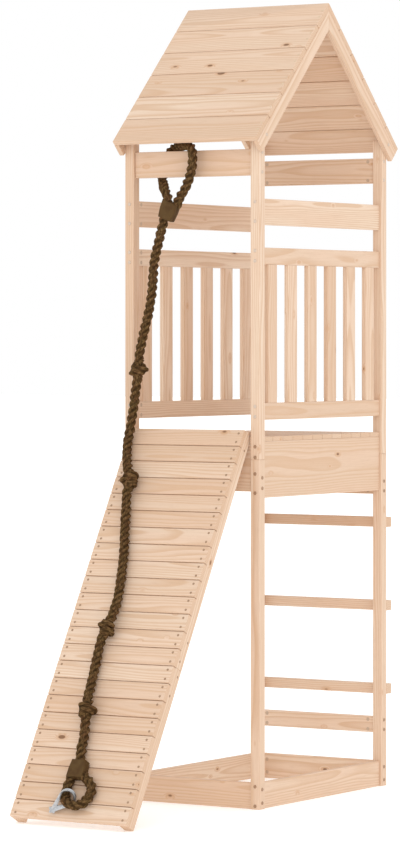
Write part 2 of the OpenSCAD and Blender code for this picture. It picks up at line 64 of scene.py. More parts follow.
camera_data = bpy.data.cameras.new("camera")
camera_data.sensor_width = SENSOR_MM
camera_data.lens = CAMERA_FOCAL_PX * SENSOR_MM / IMAGE_HEIGHT_PX
camera_data.shift_y = -OPTICAL_AXIS_PX_ABOVE_MIDDLE / IMAGE_HEIGHT_PX
camera_data.clip_end = FAR_CLIP
camera = bpy.data.objects.new("camera", camera_data)
camera.location = CAMERA_PLACE
camera.rotation_euler = (math.pi / 2, 0.0, CAMERA_TURN)
scene.collection.objects.link(camera)
scene.camera = camera
scene.view_settings.view_transform = "Standard"


def fill_inputs(tree, node, inputs):
    """Sets a node's inputs, each to a constant or by a link from another node's output."""
    for key, value in inputs.items():
        if isinstance(value, bpy.types.NodeSocket):
            tree.links.new(value, node.inputs[key])
        else:
            node.inputs[key].default_value = value


def surfaced(material, inputs):
    """Fills the inputs of a material's surface shader and gives the material back."""
    material.use_nodes = True
    surface = next(node for node in material.node_tree.nodes if node.type == "BSDF_PRINCIPLED")
    fill_inputs(material.node_tree, surface, inputs)
    return material


floor_mesh = bpy.data.meshes.new("studio_floor")
floor_corners = [(x * FLOOR_REACH, y * FLOOR_REACH, 0.0) for x, y in ((-1, -1), (1, -1), (1, 1), (-1, 1))]
floor_mesh.from_pydata(floor_corners, [], [(0, 1, 2, 3)])
floor_mesh.materials.append(surfaced(bpy.data.materials.new("studio_floor"), FLOOR_PAINT))
studio_floor = bpy.data.objects.new("studio_floor", floor_mesh)
scene.collection.objects.link(studio_floor)

room = bpy.data.worlds.new("studio_room")
room.use_nodes = True
fill_inputs(room.node_tree, room.node_tree.nodes["Background"], ROOM_LIGHT)
scene.world = room

lamp_data = bpy.data.lights.new("softbox", "SUN")
lamp_data.energy = LAMP_STRENGTH
lamp_data.angle = LAMP_SPREAD
lamp_data.color = LAMP_COLOUR
lamp = bpy.data.objects.new("softbox", lamp_data)
lamp.rotation_euler = Vector(LAMP_AIM).to_track_quat("-Z", "Y").to_euler()
scene.collection.objects.link(lamp)

# Posts: square pine, planed with eased edges, each of two lengths that meet under the floor.
# All the timber is the same untreated pine: growth rings round a pith beside the board, fine fibres
# along it and a few brown knots, with each board cut from another log and so of another tone.
TIMBER_EDGE = 0.0016
TIMBER_EDGE_STEPS = 2
SHORTEST_EASED_EDGE = 0.0095
EASED_ANGLE = math.radians(25)
OUTLINE_ANGLE = math.radians(20)
MERGE_DISTANCE = 1e-6
SIDE_FACES_BELOW, END_FACES_ABOVE = 0.1, 0.9
PITH_ALONG = 2.0
PITH_SPREAD = 0.030
PITH_NEAR, PITH_FAR = 0.020, 0.075
RING_WIDTH = 0.0052
RING_WANDER = 0.030
RING_BEND_AT_KNOT = 0.007
KNOT_CELLS = (8.4, 17.0, 17.0)
KNOTLESS_SHARE = 0.12
LARGEST_KNOT = 0.098
WANDER_CELLS = (1.6, 9.0, 9.0)
CLOUD_CELLS = (2.2, 14.0, 14.0)
FIBRE_CELLS = (9.0, 520.0, 520.0)
FLECK_CELLS = (26.0, 900.0, 900.0)
PALE_PINE = (0.795, 0.637, 0.500, 1)
MID_PINE = (0.745, 0.571, 0.434, 1)
BROWN_PINE = (0.668, 0.476, 0.340, 1)
MID_TONE = 0.55
CLOUD_PINK = (0.735, 0.510, 0.372, 1)
LATE_WOOD = (0.610, 0.385, 0.230, 1)
FIBRE_BROWN = (0.560, 0.360, 0.220, 1)
FLECK_BROWN = (0.470, 0.270, 0.150, 1)
END_GRAIN = (0.560, 0.350, 0.210, 1)
KNOT_RIM = (0.560, 0.290, 0.135, 1)
KNOT_HEART = (0.190, 0.085, 0.035, 1)
WOOD_SHINE = 0.32
FIBRE_RELIEF = 0.0004


def add_node(tree, kind, inputs=None, **options):
    """Adds a node to a tree, with its options and its inputs."""
    node = tree.nodes.new(kind)
    for key, value in options.items():
        setattr(node, key, value)
    fill_inputs(tree, node, inputs or {})
    return node


class Finish:
    """A material in the making, with short calls for the shader nodes that it needs."""

    def __init__(self, name):
        self.material = bpy.data.materials.new(name)
        self.material.use_nodes = True
        self.node = partial(add_node, self.material.node_tree)

    def attribute(self, name, output="Fac"):
        """What the mesh itself carries under a name."""
        return self.node("ShaderNodeAttribute", attribute_name=name).outputs[output]

    def place(self):
        """Where a point is on the object."""
        return self.node("ShaderNodeTexCoord").outputs["Object"]

    def split(self, vector):
        """The X, Y and Z of a vector."""
        return self.node("ShaderNodeSeparateXYZ", {"Vector": vector}).outputs

    def scaled(self, place, cells):
        """A place counted in cells, so many to the metre along each of its ways."""
        return self.node("ShaderNodeVectorMath", {0: place, 1: cells}, operation="MULTIPLY").outputs["Vector"]

    def noise(self, place, detail, cells=1.0):
        """Soft random clouds between 0 and 1."""
        inputs = {"Vector": place, "Scale": cells, "Detail": detail}
        return self.node("ShaderNodeTexNoise", inputs).outputs["Fac"]

    def cells(self, place, cells=1.0):
        """Random cells: how far off a cell's middle is, and a chance value for each cell."""
        found = self.node("ShaderNodeTexVoronoi", {"Vector": place, "Scale": cells}).outputs
        chance = self.node("ShaderNodeSeparateColor", {"Color": found["Color"]}).outputs["Red"]
        return found["Distance"], chance

    def maths(self, operation, first, second=0.0):
        """Two values worked into one, as the operation says."""
        return self.node("ShaderNodeMath", {0: first, 1: second}, operation=operation).outputs["Value"]

    def eased(self, value, low, high, to_low=0.0, to_high=1.0):
        """A value eased from one range to another."""
        ranges = {"Value": value, "From Min": low, "From Max": high, "To Min": to_low, "To Max": to_high}
        return self.node("ShaderNodeMapRange", ranges, interpolation_type="SMOOTHSTEP").outputs["Result"]

    def blend(self, share, first, second):
        """One colour over another by a share."""
        return self.node("ShaderNodeMix", {0: share, 6: first, 7: second}, data_type="RGBA").outputs[2]

    def layered(self, colour, *layers):
        """A colour with tints laid over it one after another, each by its own share."""
        for share, tint in layers:
            colour = self.blend(share, colour, tint)
        return colour

    def bumped(self, height, strength, depth):
        """The surface's direction, tilted by a fine relief."""
        relief = {"Height": height, "Strength": strength, "Distance": depth}
        return self.node("ShaderNodeBump", relief).outputs["Normal"]

    def surfaced(self, inputs):
        """The finished material, with its surface shader's inputs filled."""
        return surfaced(self.material, inputs)


def pine_finish():
    """Planed pine that follows the board's own coordinates, along the grain and across it."""
    wood = Finish("pine")
    grain = wood.attribute("board_grain", "Vector")
    to_knot, knot_chance = wood.cells(wood.scaled(grain, KNOT_CELLS))
    knot_size = wood.eased(knot_chance, KNOTLESS_SHARE, 1.0, 0.0, LARGEST_KNOT)
    past_knot = wood.maths("SUBTRACT", to_knot, knot_size)
    knot_heart = wood.eased(past_knot, -0.012, 0.018, 1.0, 0.0)
    knot_rim = wood.eased(past_knot, 0.0, 0.13, 1.0, 0.0)
    ways = wood.split(grain)
    from_pith = wood.maths("ADD", wood.maths("POWER", ways["Y"], 2.0), wood.maths("POWER", ways["Z"], 2.0))
    from_pith = wood.maths("SQRT", from_pith)
    wander = wood.noise(wood.scaled(grain, WANDER_CELLS), 2.0)
    for sway, reach in ((wander, RING_WANDER), (knot_rim, RING_BEND_AT_KNOT)):
        from_pith = wood.maths("ADD", from_pith, wood.maths("MULTIPLY", sway, reach))
    ring = wood.maths("FRACT", wood.maths("DIVIDE", from_pith, RING_WIDTH))
    late_wood = wood.maths("MULTIPLY", wood.eased(ring, 0.25, 0.86), wood.eased(ring, 0.90, 1.0, 1.0, 0.0))
    fibres = wood.noise(wood.scaled(grain, FIBRE_CELLS), 3.0)
    clouds = wood.noise(wood.scaled(grain, CLOUD_CELLS), 2.0)
    flecks = wood.noise(wood.scaled(grain, FLECK_CELLS), 1.0)
    tones = wood.node("ShaderNodeValToRGB", {"Fac": wood.attribute("board_tone")})
    tones.color_ramp.elements[0].color = PALE_PINE
    tones.color_ramp.elements[1].color = BROWN_PINE
    tones.color_ramp.elements.new(MID_TONE).color = MID_PINE
    colour = wood.layered(
        tones.outputs["Color"],
        (wood.eased(clouds, 0.3, 0.7, 0.0, 0.50), CLOUD_PINK),
        (wood.maths("MULTIPLY", late_wood, 0.64), LATE_WOOD),
        (wood.eased(fibres, 0.35, 0.75, 0.0, 0.28), FIBRE_BROWN),
        (wood.eased(flecks, 0.60, 0.78, 0.0, 0.30), FLECK_BROWN),
        (wood.maths("MULTIPLY", wood.attribute("end_grain"), 0.30), END_GRAIN),
        (wood.maths("MULTIPLY", knot_rim, 0.45), KNOT_RIM),
        (wood.maths("MULTIPLY", knot_heart, 0.86), KNOT_HEART),
    )
    relief = wood.maths("ADD", wood.maths("MULTIPLY", fibres, 0.5), wood.maths("MULTIPLY", late_wood, 0.35))
    return wood.surfaced({
        "Base Color": colour, "Roughness": wood.eased(late_wood, 0.0, 1.0, 0.62, 0.50),
        "Specular IOR Level": WOOD_SHINE, "Normal": wood.bumped(relief, 0.35, FIBRE_RELIEF),
    })


pine = pine_finish()


def merged_copy(node):
    """A CAD node's loose triangles, merged into whole solids."""
    mesh = bmesh.new()
    mesh.from_mesh(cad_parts[node].data)
    bmesh.ops.remove_doubles(mesh, verts=mesh.verts, dist=MERGE_DISTANCE)
    mesh.verts.index_update()
    return mesh


def solids_of(mesh):
    """The separate solids of a merged mesh, as lists of its vertices."""
    seen, found = set(), []
    for start in mesh.verts:
        if start.index in seen:
            continue
        seen.add(start.index)
        group, waiting = [start], [start]
        while waiting:
            for edge in waiting.pop().link_edges:
                for vertex in edge.verts:
                    if vertex.index not in seen:
                        seen.add(vertex.index)
                        group.append(vertex)
                        waiting.append(vertex)
        found.append(group)
    return found


def faces_of(group):
    """The faces round a solid's vertices, each once and in a settled order."""
    return list(dict.fromkeys(face for vertex in group for face in vertex.link_faces))


def settled(way):
    """A direction or its opposite, whichever has its greatest part above zero."""
    return way if max(way, key=lambda part: round(abs(part), 3)) > 0 else -way


def board_axes(group):
    """A board's middle, its ways along the grain, across and through it, and its size along each."""
    edges = dict.fromkeys(edge for vertex in group for edge in vertex.link_edges)
    outline = [edge for edge in edges if edge.calc_face_angle(0.0) > OUTLINE_ANGLE]
    along = max(outline, key=lambda edge: round(edge.calc_length(), 5))
    along = settled((along.verts[1].co - along.verts[0].co).normalized())
    areas = {}
    for face in faces_of(group):
        if abs(face.normal.dot(along)) < SIDE_FACES_BELOW:
            way = settled(face.normal)
            key = tuple(round(part, 2) + 0.0 for part in way)
            areas.setdefault(key, [0.0, way.copy()])
            areas[key][0] += face.calc_area()
    through = max(areas.values(), key=lambda pair: round(pair[0], 6))[1]
    through = (through - along * through.dot(along)).normalized()
    ways = (along, through.cross(along), through)
    spans = [[vertex.co.dot(way) for vertex in group] for way in ways]
    middle = sum(((min(span) + max(span)) / 2 * way for span, way in zip(spans, ways)), Vector())
    return middle, ways, [max(span) - min(span) for span in spans]


def finish_piece(mesh, name, material, body, node):
    """Puts a finished mesh in the scene, in place of the CAD node that it stands for."""
    mesh.materials.clear()
    mesh.materials.append(material)
    piece = bpy.data.objects.new(name, mesh)
    scene.collection.objects.link(piece)
    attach(piece, body)
    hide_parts(node)
    return piece


def kept_mesh(work, name):
    """A worked mesh as a plain one."""
    mesh = bpy.data.meshes.new(name)
    work.to_mesh(mesh)
    work.free()
    return mesh


def dress_timber(node, edge=TIMBER_EDGE):
    """Sawn and planed timber in place of a CAD node: eased edges, and each board's own grain."""
    timber = merged_copy(node)
    sharp = [
        e for e in timber.edges
        if len(e.link_faces) == 2 and e.calc_length() > SHORTEST_EASED_EDGE
        and e.calc_face_angle() > EASED_ANGLE
    ]
    bmesh.ops.bevel(
        timber, geom=sharp, offset=edge, segments=TIMBER_EDGE_STEPS, profile=0.5, affect="EDGES",
        clamp_overlap=True,
    )
    timber.normal_update()
    timber.verts.index_update()
    grain_layer = timber.verts.layers.float_vector.new("board_grain")
    tone_layer = timber.verts.layers.float.new("board_tone")
    end_layer = timber.faces.layers.float.new("end_grain")
    chance = random.Random(node)
    for group in solids_of(timber):
        middle, ways, _ = board_axes(group)
        pith = Vector((
            chance.uniform(-PITH_ALONG, PITH_ALONG), chance.uniform(-PITH_SPREAD, PITH_SPREAD),
            chance.choice((-1, 1)) * chance.uniform(PITH_NEAR, PITH_FAR),
        ))
        board_tone = chance.random()
        for vertex in group:
            offset = vertex.co - middle
            vertex[grain_layer] = Vector([offset.dot(way) for way in ways]) + pith
            vertex[tone_layer] = board_tone
        for face in faces_of(group):
            face[end_layer] = 1.0 if abs(face.normal.dot(ways[0])) > END_FACES_ABOVE else 0.0
    finish_piece(kept_mesh(timber, "dressed_" + node), "dressed_" + node, pine, "frame", node)


for height in ("lower", "upper"):
    for corner in ("front_left", "front_right", "back_left", "back_right"):
        dress_timber(f"post_{height}_{corner}")

# Boards and rails between the posts: planed pine, drilled in their ends for bolts and across for the
# barrel nuts. The broad boards at the floor bridge the joints in the posts.
for node in (
    "base_board_front", "base_board_back", "base_board_left", "base_board_right",
    "platform_board_front", "platform_rail_back", "platform_board_left", "platform_board_right",
    "low_rail_back", "middle_board_left", "middle_board_right", "top_beam_front", "top_beam_back",
    "panel_low_rail_left", "panel_low_rail_right", "panel_top_rail_left", "panel_top_rail_right",
):
    dress_timber(node)

# Rungs: three lengths of square pine across the outer face of the back posts, as a ladder to the floor.
# Each is bolted to a post at both ends.
for node in ("rung_low", "rung_middle", "rung_top"):
    dress_timber(node)

# Slats: thin planed pine, all of one size in a row, with long edges rounded by the planer and sawn ends.
# They are the floor, the uprights of the side panels and the ramp's deck.
SLAT_EDGE = 0.0018
SLAT_EDGE_POINTS = 3
FIRST_SLAT_SEED = 11


def geometry_tree(name, kinds):
    """A new Geometry Nodes tree with named inputs, the maker of its nodes, and what those inputs give."""
    tree = bpy.data.node_groups.new(name, "GeometryNodeTree")
    tree.interface.new_socket("Geometry", in_out="INPUT", socket_type="NodeSocketGeometry")
    for label, kind in kinds.items():
        tree.interface.new_socket(label, in_out="INPUT", socket_type="NodeSocket" + kind)
    tree.interface.new_socket("Geometry", in_out="OUTPUT", socket_type="NodeSocketGeometry")
    make = partial(add_node, tree)
    return tree, make, make("NodeGroupInput").outputs


def times(make, size, share):
    """A size in a tree times a share."""
    return make("ShaderNodeMath", {0: size, 1: share}, operation="MULTIPLY").outputs["Value"]


def stored(make, geometry, name, value, kind, domain):
    """A geometry in a tree with a named value stored on its points, faces or instances."""
    inputs = {"Geometry": geometry, "Name": name, "Value": value}
    node = make("GeometryNodeStoreNamedAttribute", inputs, data_type=kind, domain=domain)
    return node.outputs["Geometry"]


def carried(make, name, kind):
    """A named value that a geometry in a tree carries."""
    return make("GeometryNodeInputNamedAttribute", {"Name": name}, data_type=kind).outputs["Attribute"]


def finished_tree(make, instances, material):
    """Ends a tree: its instances as real mesh, in one material."""
    real = make("GeometryNodeRealizeInstances", {"Geometry": instances}).outputs["Geometry"]
    real = make("GeometryNodeSetMaterial", {"Geometry": real, "Material": material}).outputs["Geometry"]
    make("NodeGroupOutput", {"Geometry": real})


def turned_as_told(make):
    """The turn that each point carries, as a rotation."""
    turn = carried(make, "turn", "FLOAT_VECTOR")
    return make("FunctionNodeEulerToRotation", {"Euler": turn}).outputs["Rotation"]


def slat_row_tree():
    """A tree that sets one slat on each point, cut from its own place in the wood."""
    tree, make, given = geometry_tree("slat_row", {
        "Length": "Float", "Width": "Float", "Thickness": "Float", "Eased edge": "Float", "Seed": "Int",
        "Timber": "Material",
    })
    profile = make("GeometryNodeCurvePrimitiveQuadrilateral", {
        "Width": given["Width"], "Height": given["Thickness"],
    })
    profile = make("GeometryNodeFilletCurve", {
        "Curve": profile.outputs["Curve"], "Radius": given["Eased edge"], "Count": SLAT_EDGE_POINTS,
    }, mode="POLY")
    ends = [
        make("ShaderNodeCombineXYZ", {"X": times(make, given["Length"], share)}).outputs["Vector"]
        for share in (-0.5, 0.5)
    ]
    run = make("GeometryNodeCurvePrimitiveLine", {"Start": ends[0], "End": ends[1]})
    slat = make("GeometryNodeCurveToMesh", {
        "Curve": run.outputs["Curve"], "Profile Curve": profile.outputs["Curve"], "Fill Caps": True,
    }).outputs["Mesh"]
    place = make("GeometryNodeInputPosition").outputs["Position"]
    slat = stored(make, slat, "board_grain", place, "FLOAT_VECTOR", "POINT")
    normal = make("GeometryNodeInputNormal").outputs["Normal"]
    facing = make("ShaderNodeSeparateXYZ", {"Vector": normal}).outputs["X"]
    facing = make("ShaderNodeMath", {0: facing}, operation="ABSOLUTE").outputs["Value"]
    sawn = make("ShaderNodeMath", {0: facing, 1: END_FACES_ABOVE}, operation="GREATER_THAN").outputs["Value"]
    slat = stored(make, slat, "end_grain", sawn, "FLOAT", "FACE")
    row = make("GeometryNodeInstanceOnPoints", {
        "Points": given["Geometry"], "Instance": slat, "Rotation": turned_as_told(make),
    }).outputs["Instances"]
    pith = make("FunctionNodeRandomValue", {
        "Min": (-PITH_ALONG, -PITH_SPREAD, PITH_NEAR), "Max": (PITH_ALONG, PITH_SPREAD, PITH_FAR),
        "Seed": given["Seed"],
    }, data_type="FLOAT_VECTOR").outputs[0]
    tone = make("FunctionNodeRandomValue", {"Seed": given["Seed"]}, data_type="FLOAT").outputs[1]
    row = stored(make, row, "pith", pith, "FLOAT_VECTOR", "INSTANCE")
    row = stored(make, row, "board_tone", tone, "FLOAT", "INSTANCE")
    row = make("GeometryNodeRealizeInstances", {"Geometry": row}).outputs["Geometry"]
    grain = make("ShaderNodeVectorMath", {
        0: carried(make, "board_grain", "FLOAT_VECTOR"), 1: carried(make, "pith", "FLOAT_VECTOR"),
    }, operation="ADD").outputs["Vector"]
    row = stored(make, row, "board_grain", grain, "FLOAT_VECTOR", "POINT")
    finished_tree(make, row, given["Timber"])
    return tree


def places_mesh(name, places, turns, **more):
    """Points for a tree to work on, each with its turn and any further value."""
    mesh = bpy.data.meshes.new(name)
    mesh.from_pydata([tuple(place) for place in places], [], [])
    layer = mesh.attributes.new("turn", "FLOAT_VECTOR", "POINT")
    layer.data.foreach_set("vector", [angle for turn in turns for angle in turn])
    for key, values in more.items():
        mesh.attributes.new(key, "FLOAT", "POINT").data.foreach_set("value", values)
    return mesh


def grown_mesh(name, tree, start, values):
    """Runs a Geometry Nodes tree on a mesh of points and keeps the result as a plain mesh."""
    holder = bpy.data.objects.new(name, start)
    scene.collection.objects.link(holder)
    modifier = holder.modifiers.new(name, "NODES")
    modifier.node_group = tree
    for item in tree.interface.items_tree:
        if item.in_out == "INPUT" and item.name in values:
            modifier[item.identifier] = values[item.name]
    depsgraph = bpy.context.evaluated_depsgraph_get()
    mesh = bpy.data.meshes.new_from_object(holder.evaluated_get(depsgraph), depsgraph=depsgraph)
    mesh.name = name
    bpy.data.objects.remove(holder)
    return mesh


slat_row = slat_row_tree()
slat_nodes = ("floor_boards", "panel_slats_left", "panel_slats_right", "ramp_slats")
for seed, node in enumerate(slat_nodes, FIRST_SLAT_SEED):
    solid = merged_copy(node)
    boards = [board_axes(group) for group in solids_of(solid)]
    solid.free()
    turns = [Matrix(ways).transposed().to_euler() for _, ways, _ in boards]
    length, width, thickness = boards[0][2]
    points = places_mesh(node, [middle for middle, _, _ in boards], turns)
    mesh = grown_mesh("dressed_" + node, slat_row, points, {
        "Length": length, "Width": width, "Thickness": thickness, "Eased edge": SLAT_EDGE, "Seed": seed,
        "Timber": pine,
    })
    finish_piece(mesh, "dressed_" + node, pine, "frame", node)

# Roof: pine rafters bolted outside the posts, and six boards to a slope screwed down on them.
# The top boards are mitred together at the ridge, and a thin groove shows between board and board.
ROOF_BOARD_EDGE = 0.0022

for node in ("rafter_front_left", "rafter_front_right", "rafter_back_left", "rafter_back_right"):
    dress_timber(node)
for node in ("roof_boards_front", "roof_boards_back"):
    dress_timber(node, ROOF_BOARD_EDGE)

# Ramp frame: two square pine stringers notched over the front board, each of two lengths with a block screwed
# behind the joint, and a batten between their tops.
for node in (
    "ramp_stringer_upper_left", "ramp_stringer_upper_right",
    "ramp_stringer_lower_left", "ramp_stringer_lower_right",
    "ramp_splice_left", "ramp_splice_right", "ramp_top_batten",
):
    dress_timber(node)

# Fasteners: steel bolts with a flat round head and a hexagon socket through the posts, dark at the floor and
# below it and paler above, and the barrel nuts that they screw into, which show as plain discs. Wood screws
# are driven all but flush: dark ones in the ramp, pale yellow zinc in the floor and the roof.
BOLT = {"Head diameter": 0.0100, "Head height": 0.0016, "Socket width": 0.0046, "Shank diameter": 0.0058}
SCREW = {"Head diameter": 0.0080, "Head height": 0.0012, "Socket width": 0.0036, "Shank diameter": 0.0038}
BOLT_PROUD = 0.0
SCREW_PROUD = 0.0003
END_TOLERANCE = 1e-5
HEAD_TOP_SHARE = 0.40
SOCKET_LIFT = 0.45
HEAD_SIDES, SOCKET_SIDES, SHANK_SIDES = 16, 6, 8
PALE_HEADS_ABOVE = 1.03
PALE_HEADS_FADE = 0.01
MOTTLE_CELLS = 420.0
BRONZE = (0.310, 0.185, 0.110, 1), (0.410, 0.255, 0.160, 1)
PALE_STEEL = (0.570, 0.455, 0.365, 1), (0.650, 0.525, 0.425, 1)
NUT_STEEL = (0.470, 0.335, 0.240, 1), (0.560, 0.410, 0.300, 1)
YELLOW_ZINC = (0.620, 0.460, 0.310, 1), (0.720, 0.550, 0.390, 1)


def plated_steel(name, tones, roughness, metallic):
    """Steel under a thin plating, slightly mottled between two tones."""
    steel = Finish(name)
    mottle = steel.noise(steel.place(), 3.0, MOTTLE_CELLS)
    colour = steel.blend(steel.eased(mottle, 0.3, 0.7), *tones)
    return steel.surfaced({"Base Color": colour, "Roughness": roughness, "Metallic": metallic})


def bronzed_steel():
    """Bronzed steel, mottled, that shows dark up to the floor and pale above it."""
    steel = Finish("bronzed_steel")
    place = steel.place()
    mottle = steel.noise(place, 3.0, MOTTLE_CELLS)
    share = steel.eased(mottle, 0.3, 0.7)
    above = steel.eased(steel.split(place)["Z"], PALE_HEADS_ABOVE, PALE_HEADS_ABOVE + PALE_HEADS_FADE)
    colour = steel.blend(above, steel.blend(share, *BRONZE), steel.blend(share, *PALE_STEEL))
    roughness = steel.eased(mottle, 0.2, 0.8, 0.38, 0.60)
    return steel.surfaced({"Base Color": colour, "Roughness": roughness, "Metallic": 0.15})


def fastener_tree():
    """A tree that drives one fastener at each point: a head with its socket, and a shank as long as told."""
    tree, make, given = geometry_tree("fasteners", {
        "Head diameter": "Float", "Head height": "Float", "Socket width": "Float", "Shank diameter": "Float",
        "Steel": "Material",
    })

    def round_bar(sides, diameter, length, lift):
        """An upright bar whose middle is lifted so far off the point."""
        bar = make("GeometryNodeMeshCylinder", {
            "Vertices": sides, "Radius": times(make, diameter, 0.5), "Depth": length,
        }).outputs["Mesh"]
        place = make("ShaderNodeCombineXYZ", {"Z": lift}).outputs["Vector"]
        return make("GeometryNodeTransform", {"Geometry": bar, "Translation": place}).outputs["Geometry"]

    head = make("GeometryNodeMeshCone", {
        "Vertices": HEAD_SIDES, "Radius Top": times(make, given["Head diameter"], HEAD_TOP_SHARE),
        "Radius Bottom": times(make, given["Head diameter"], 0.5), "Depth": given["Head height"],
    }).outputs["Mesh"]
    socket_lift = times(make, given["Head height"], SOCKET_LIFT)
    socket = round_bar(SOCKET_SIDES, given["Socket width"], given["Head height"], socket_lift)
    head = make("GeometryNodeMeshBoolean", {"Mesh 1": head, "Mesh 2": socket}, operation="DIFFERENCE")
    shank = round_bar(SHANK_SIDES, given["Shank diameter"], 1.0, -0.5)
    turn = turned_as_told(make)
    stretch = make("ShaderNodeCombineXYZ", {"X": 1.0, "Y": 1.0, "Z": carried(make, "reach", "FLOAT")})
    both = make("GeometryNodeJoinGeometry")
    for part in (
        {"Instance": head.outputs["Mesh"]},
        {"Instance": shank, "Scale": stretch.outputs["Vector"]},
    ):
        row = make("GeometryNodeInstanceOnPoints", {"Points": given["Geometry"], "Rotation": turn, **part})
        tree.links.new(row.outputs["Instances"], both.inputs["Geometry"])
    finished_tree(make, both.outputs["Geometry"], given["Steel"])
    return tree


def drive_fasteners(node, sizes, proud, steel):
    """Fasteners of one kind, each where the CAD has one, with a head that stands so far past the CAD's."""
    solid = merged_copy(node)
    sunk = sizes["Head height"] - proud
    places, turns, reaches = [], [], []
    for group in solids_of(solid):
        points = np.array([vertex.co for vertex in group])
        middle = points.mean(axis=0)
        axis = np.linalg.svd(points - middle, full_matrices=False)[2][0]
        along = (points - middle) @ axis
        girth = np.linalg.norm(points - middle - np.outer(along, axis), axis=1)
        front, back = along > along.max() - END_TOLERANCE, along < along.min() + END_TOLERANCE
        if girth[front].max() < girth[back].max():
            axis, along = -axis, -along
        centre = points - np.outer(along, axis)
        centre = (centre.min(axis=0) + centre.max(axis=0)) / 2
        places.append(centre + axis * (along.max() - sunk))
        turns.append(Vector((0, 0, 1)).rotation_difference(Vector(axis)).to_euler())
        reaches.append(float(along.max() - along.min()) - sunk)
    solid.free()
    points = places_mesh(node, places, turns, reach=reaches)
    mesh = grown_mesh("dressed_" + node, fasteners, points, {**sizes, "Steel": steel})
    finish_piece(mesh, "dressed_" + node, steel, "frame", node)


fasteners = fastener_tree()
bronzed = bronzed_steel()
yellow_zinc = plated_steel("yellow_zinc", YELLOW_ZINC, 0.45, 0.25)
drive_fasteners("frame_bolts", BOLT, BOLT_PROUD, bronzed)
drive_fasteners("ramp_screws", SCREW, SCREW_PROUD, bronzed)
drive_fasteners("roof_screws", SCREW, SCREW_PROUD, yellow_zinc)
drive_fasteners("floor_screws", SCREW, SCREW_PROUD, yellow_zinc)
nut_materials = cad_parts["barrel_nuts"].data.materials
nut_materials.clear()
nut_materials.append(plated_steel("nut_steel", NUT_STEEL, 0.50, 0.15))

# Climbing rope: three-strand twisted rope of dark brown fibre, 25 mm thick, about 2.3 m with its two eyes.
# It runs from the upper clamp down over the ramp's deck to the lower clamp. Each strand is a little uneven,
# its yarns stand as fine ridges on it, and the fibre is mottled in red, olive and dark brown.
ROPE_RADIUS = 0.0134
ROPE_LAY = 0.058
STRANDS = 3
STRAND_SHARE = 0.4641
STRAND_UNEVENNESS = 0.085
UNEVEN_STEP = 0.009
UNEVEN_OVERRUN = 0.02
YARNS_IN_STRAND = 4
YARN_RIDGE = 0.028
YARN_LAY = 0.45 * ROPE_LAY
GROOVE_FLOOR = 0.70
GROOVE_SHADE_FROM, GROOVE_SHADE_DEPTH = 0.92, 0.22
ROPE_STEP = 0.0022
ROPE_SIDES = 48
CURVE_STEPS = 40
FIRST_SIDE_HINT = (1.0, 0.3, 0.2)
YARN_CELLS = (34.0, 820.0, 820.0)
YARN_RELIEF = 0.0012
PATCH_CELLS = (26.0, 110.0, 110.0)
HUE_CELLS = (38.0, 70.0, 70.0)
SPOT_CELLS = (95.0, 260.0, 260.0)
YARN_TONES = (0.058, 0.029, 0.010, 1), (0.200, 0.114, 0.048, 1)
PATCH_BROWN = (0.125, 0.068, 0.024, 1)
ROPE_RED = (0.115, 0.046, 0.021, 1)
ROPE_OLIVE = (0.098, 0.066, 0.020, 1)
DARK_SPOT = (0.044, 0.024, 0.009, 1)
PALE_SPOT = (0.240, 0.142, 0.064, 1)
# painted shade laid into the grooves between the strands
GROOVE_PAINTED_SHADE = (0.032, 0.016, 0.005, 1)
LINE_ROUTE = [
    (-0.076, -0.078, 1.576), (-0.086, -0.080, 1.542), (-0.097, -0.083, 1.495), (-0.107, -0.086, 1.450),
    (-0.108, -0.091, 1.391), (-0.116, -0.095, 1.326), (-0.130, -0.100, 1.262), (-0.142, -0.104, 1.205),
    (-0.142, -0.106, 1.164), (-0.148, -0.109, 1.125), (-0.153, -0.112, 1.076), (-0.159, -0.116, 1.031),
    (-0.166, -0.119, 0.985), (-0.158, -0.138, 0.948), (-0.140, -0.165, 0.912), (-0.114, -0.195, 0.873),
    (-0.112, -0.210, 0.834), (-0.103, -0.227, 0.794), (-0.088, -0.256, 0.742), (-0.069, -0.288, 0.686),
    (-0.055, -0.321, 0.630), (-0.044, -0.353, 0.575), (-0.040, -0.381, 0.534), (-0.042, -0.413, 0.493),
    (-0.051, -0.427, 0.457), (-0.051, -0.442, 0.420), (-0.047, -0.464, 0.382), (-0.041, -0.489, 0.343),
    (-0.035, -0.509, 0.319), (-0.023, -0.530, 0.291), (-0.021, -0.542, 0.259), (-0.017, -0.553, 0.228),
    (-0.013, -0.570, 0.198), (-0.007, -0.586, 0.172), (-0.003, -0.595, 0.158),
]


